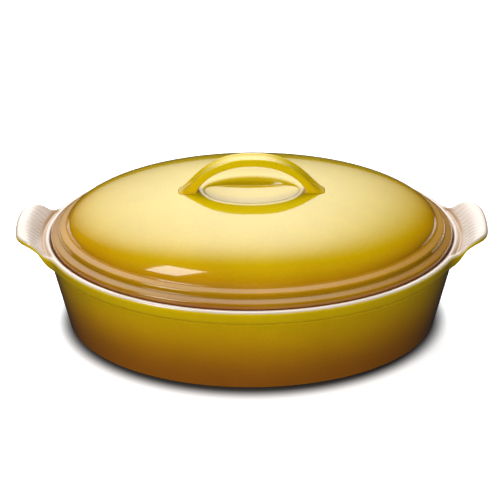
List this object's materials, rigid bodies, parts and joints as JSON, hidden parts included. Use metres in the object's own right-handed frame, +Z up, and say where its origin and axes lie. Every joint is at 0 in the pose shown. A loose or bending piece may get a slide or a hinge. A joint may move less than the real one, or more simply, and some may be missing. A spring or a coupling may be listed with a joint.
{
  "type": "covered casserole dish",
  "caption": "Deep oval stoneware casserole with fluted ear handles and a domed, stepped lid that lifts off by a strap handle.",
  "frame": {"origin": "centre of the foot, on the surface it stands on", "axes": "+X from the left ear to the right ear, along the oval's length; +Z up, the way the lid lifts"},
  "size_m": [0.41, 0.271, 0.1585],
  "materials": {
    "dish_glaze": "gloss",
    "lid_glaze": "gloss",
    "handle_glaze": "gloss"
  },
  "bodies": {
    "dish": {"dish": "dish_glaze"},
    "lid": {"lid": "lid_glaze", "lid_handle": "handle_glaze"}
  },
  "joints": [
    {"name": "lid_lift", "type": "slide", "parent": "dish", "child": "lid", "axis": [0, 0, 1], "range_m": [0, 0.15]}
  ]
}
